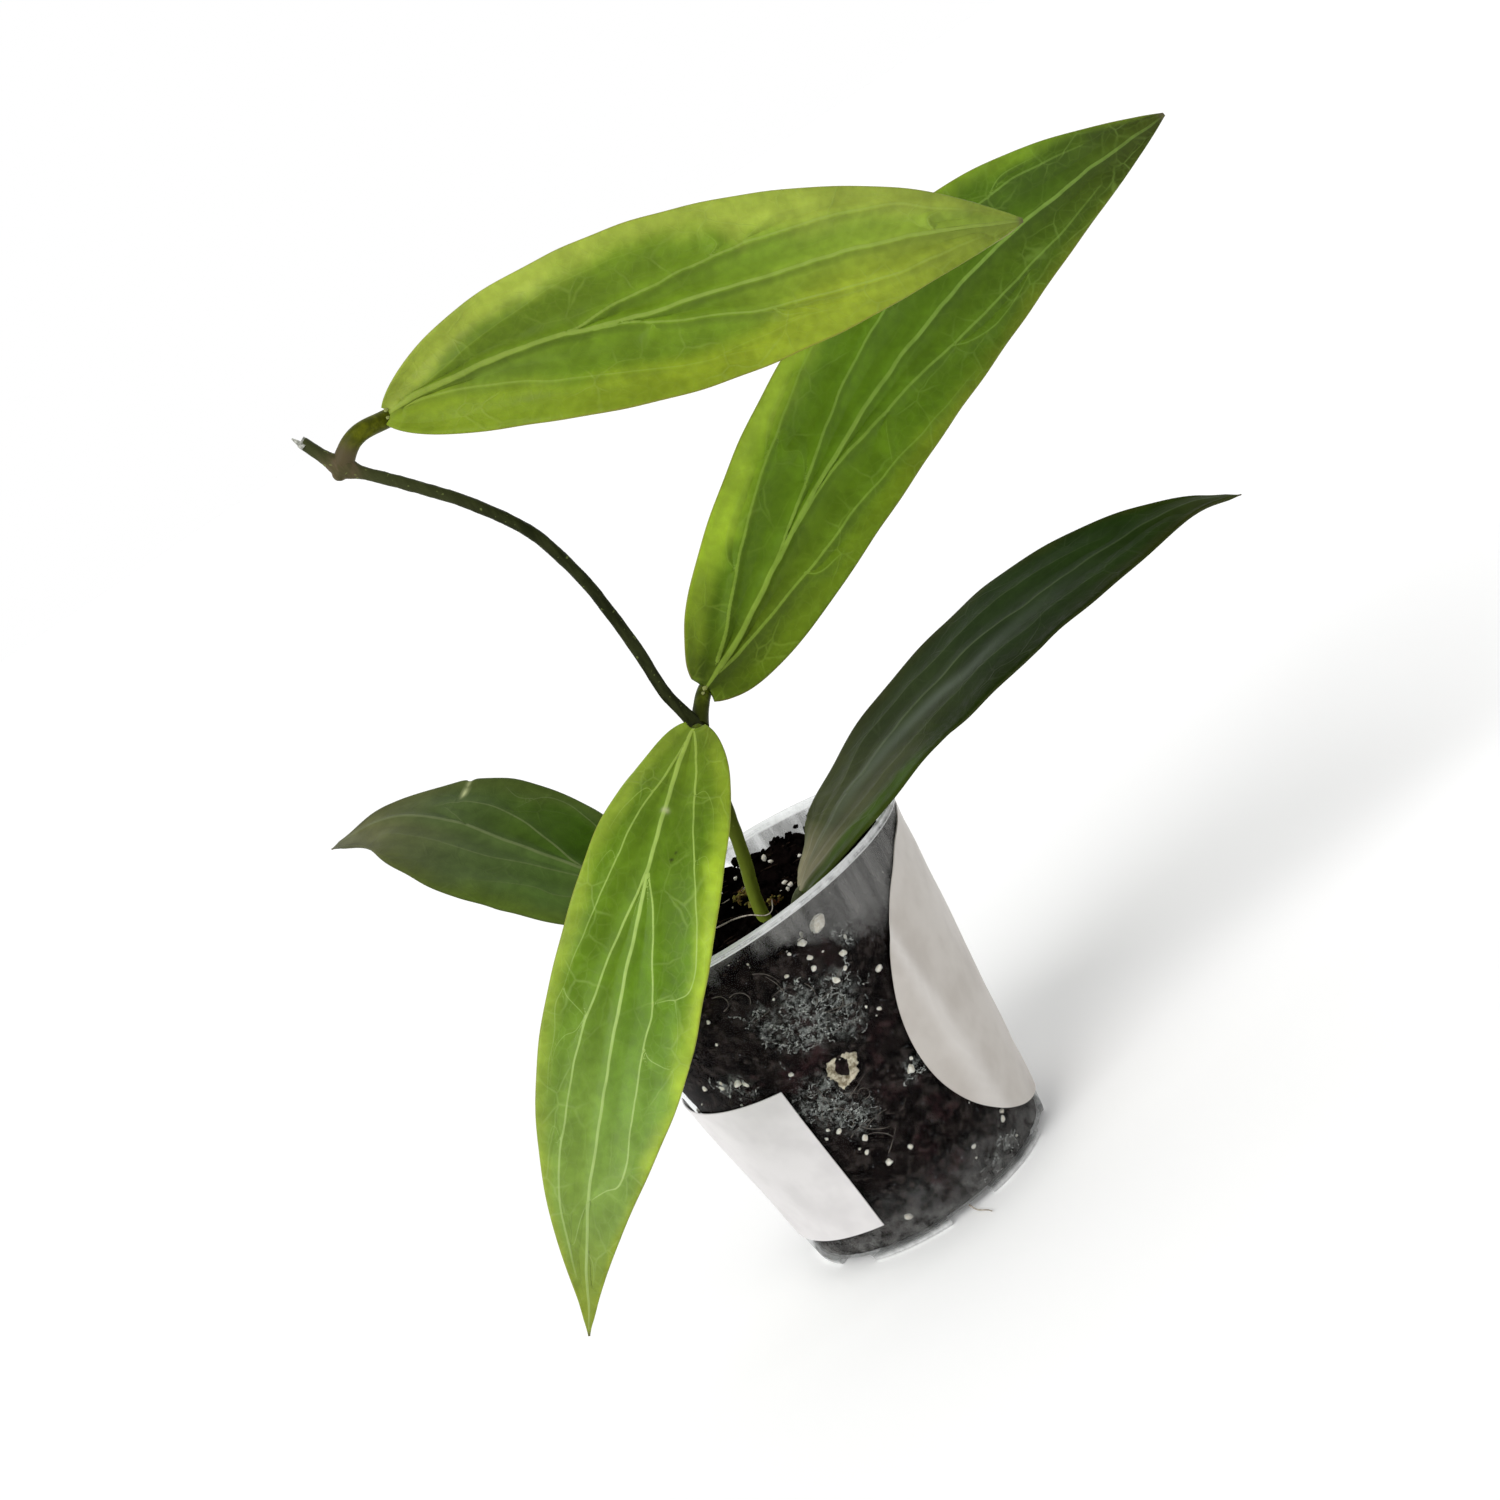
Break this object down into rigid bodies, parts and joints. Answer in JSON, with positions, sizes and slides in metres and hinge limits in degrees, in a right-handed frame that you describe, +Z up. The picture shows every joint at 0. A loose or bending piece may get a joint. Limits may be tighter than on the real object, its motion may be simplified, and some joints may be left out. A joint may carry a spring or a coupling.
{
  "type": "potted hoya plant",
  "caption": "Young trailing hoya with long lance-shaped leaves on a thin bent stem, rooted in a small clear conical nursery pot of dark soil with paper labels.",
  "frame": {"origin": "centre of the pot's underside, on the surface that the pot stands on", "axes": "+Z up along the pot's axis, -Y towards the plant's front, +X to the right seen from the front"},
  "size_m": [0.1859, 0.078, 0.1611],
  "materials": {
    "clear_plastic": "gloss",
    "soil": "matte",
    "label_film": "satin",
    "label_paper": "matte",
    "stem": "satin",
    "young_leaf": "satin",
    "old_leaf": "satin"
  },
  "bodies": {
    "root": {"pot": "clear_plastic", "soil": "soil", "label_round": "label_film", "label_plain": "label_paper", "stem": "stem", "leaf_middle": "young_leaf", "leaf_hanging": "young_leaf", "leaf_upper": "young_leaf", "leaf_old_right": "old_leaf", "leaf_old_left": "old_leaf"}
  },
  "joints": []
}
